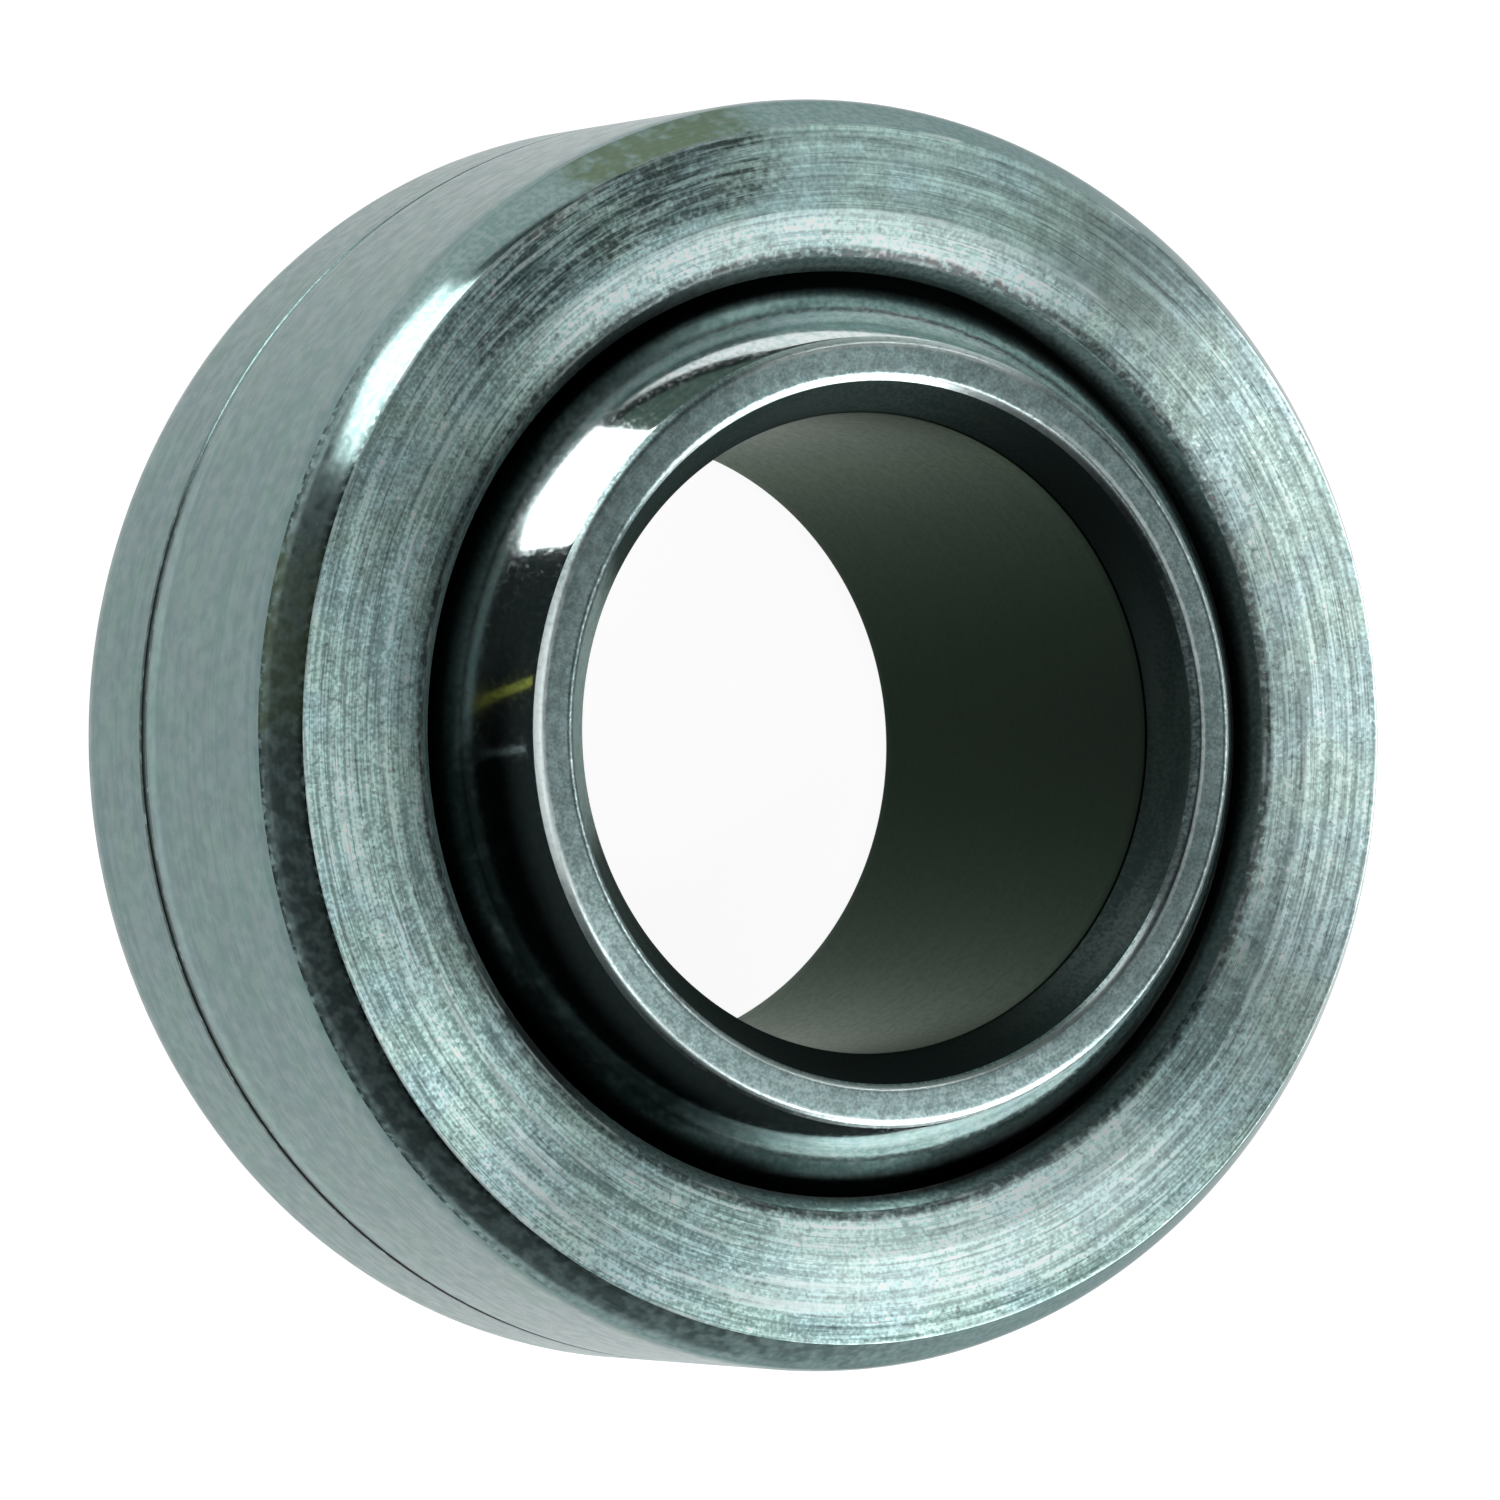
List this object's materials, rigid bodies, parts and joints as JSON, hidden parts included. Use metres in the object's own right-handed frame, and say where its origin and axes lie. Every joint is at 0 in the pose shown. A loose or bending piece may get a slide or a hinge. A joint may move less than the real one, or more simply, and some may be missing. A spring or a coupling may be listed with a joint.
{
  "type": "spherical plain bearing",
  "caption": "Spherical plain bearing: a ball with a through bore, held in the spherical seat of a chamfered outer race, in which it swivels and tilts.",
  "frame": {"origin": "centre of the ball, which is also the centre of the race's spherical seat and of the whole bearing", "axes": "+Z along the bearing axis, out of the front faces; X and Y across it, with the tilt joint's axis along X"},
  "size_m": [0.0254, 0.0254, 0.0126],
  "materials": {
    "race_steel": "bare turned steel with circular tool marks on the faces and a satin ground outside",
    "ball_steel": "hardened steel with a polished sphere, ground end faces and a plain dark bore"
  },
  "bodies": {
    "race": {"outer_race": "race_steel"},
    "ball": {"ball": "ball_steel"}
  },
  "joints": [
    {"name": "ball_tilt", "type": "hinge", "parent": "race", "child": "ball", "pos_m": [0, 0, 0], "axis": [1, 0, 0], "range_deg": [-10, 10]}
  ]
}
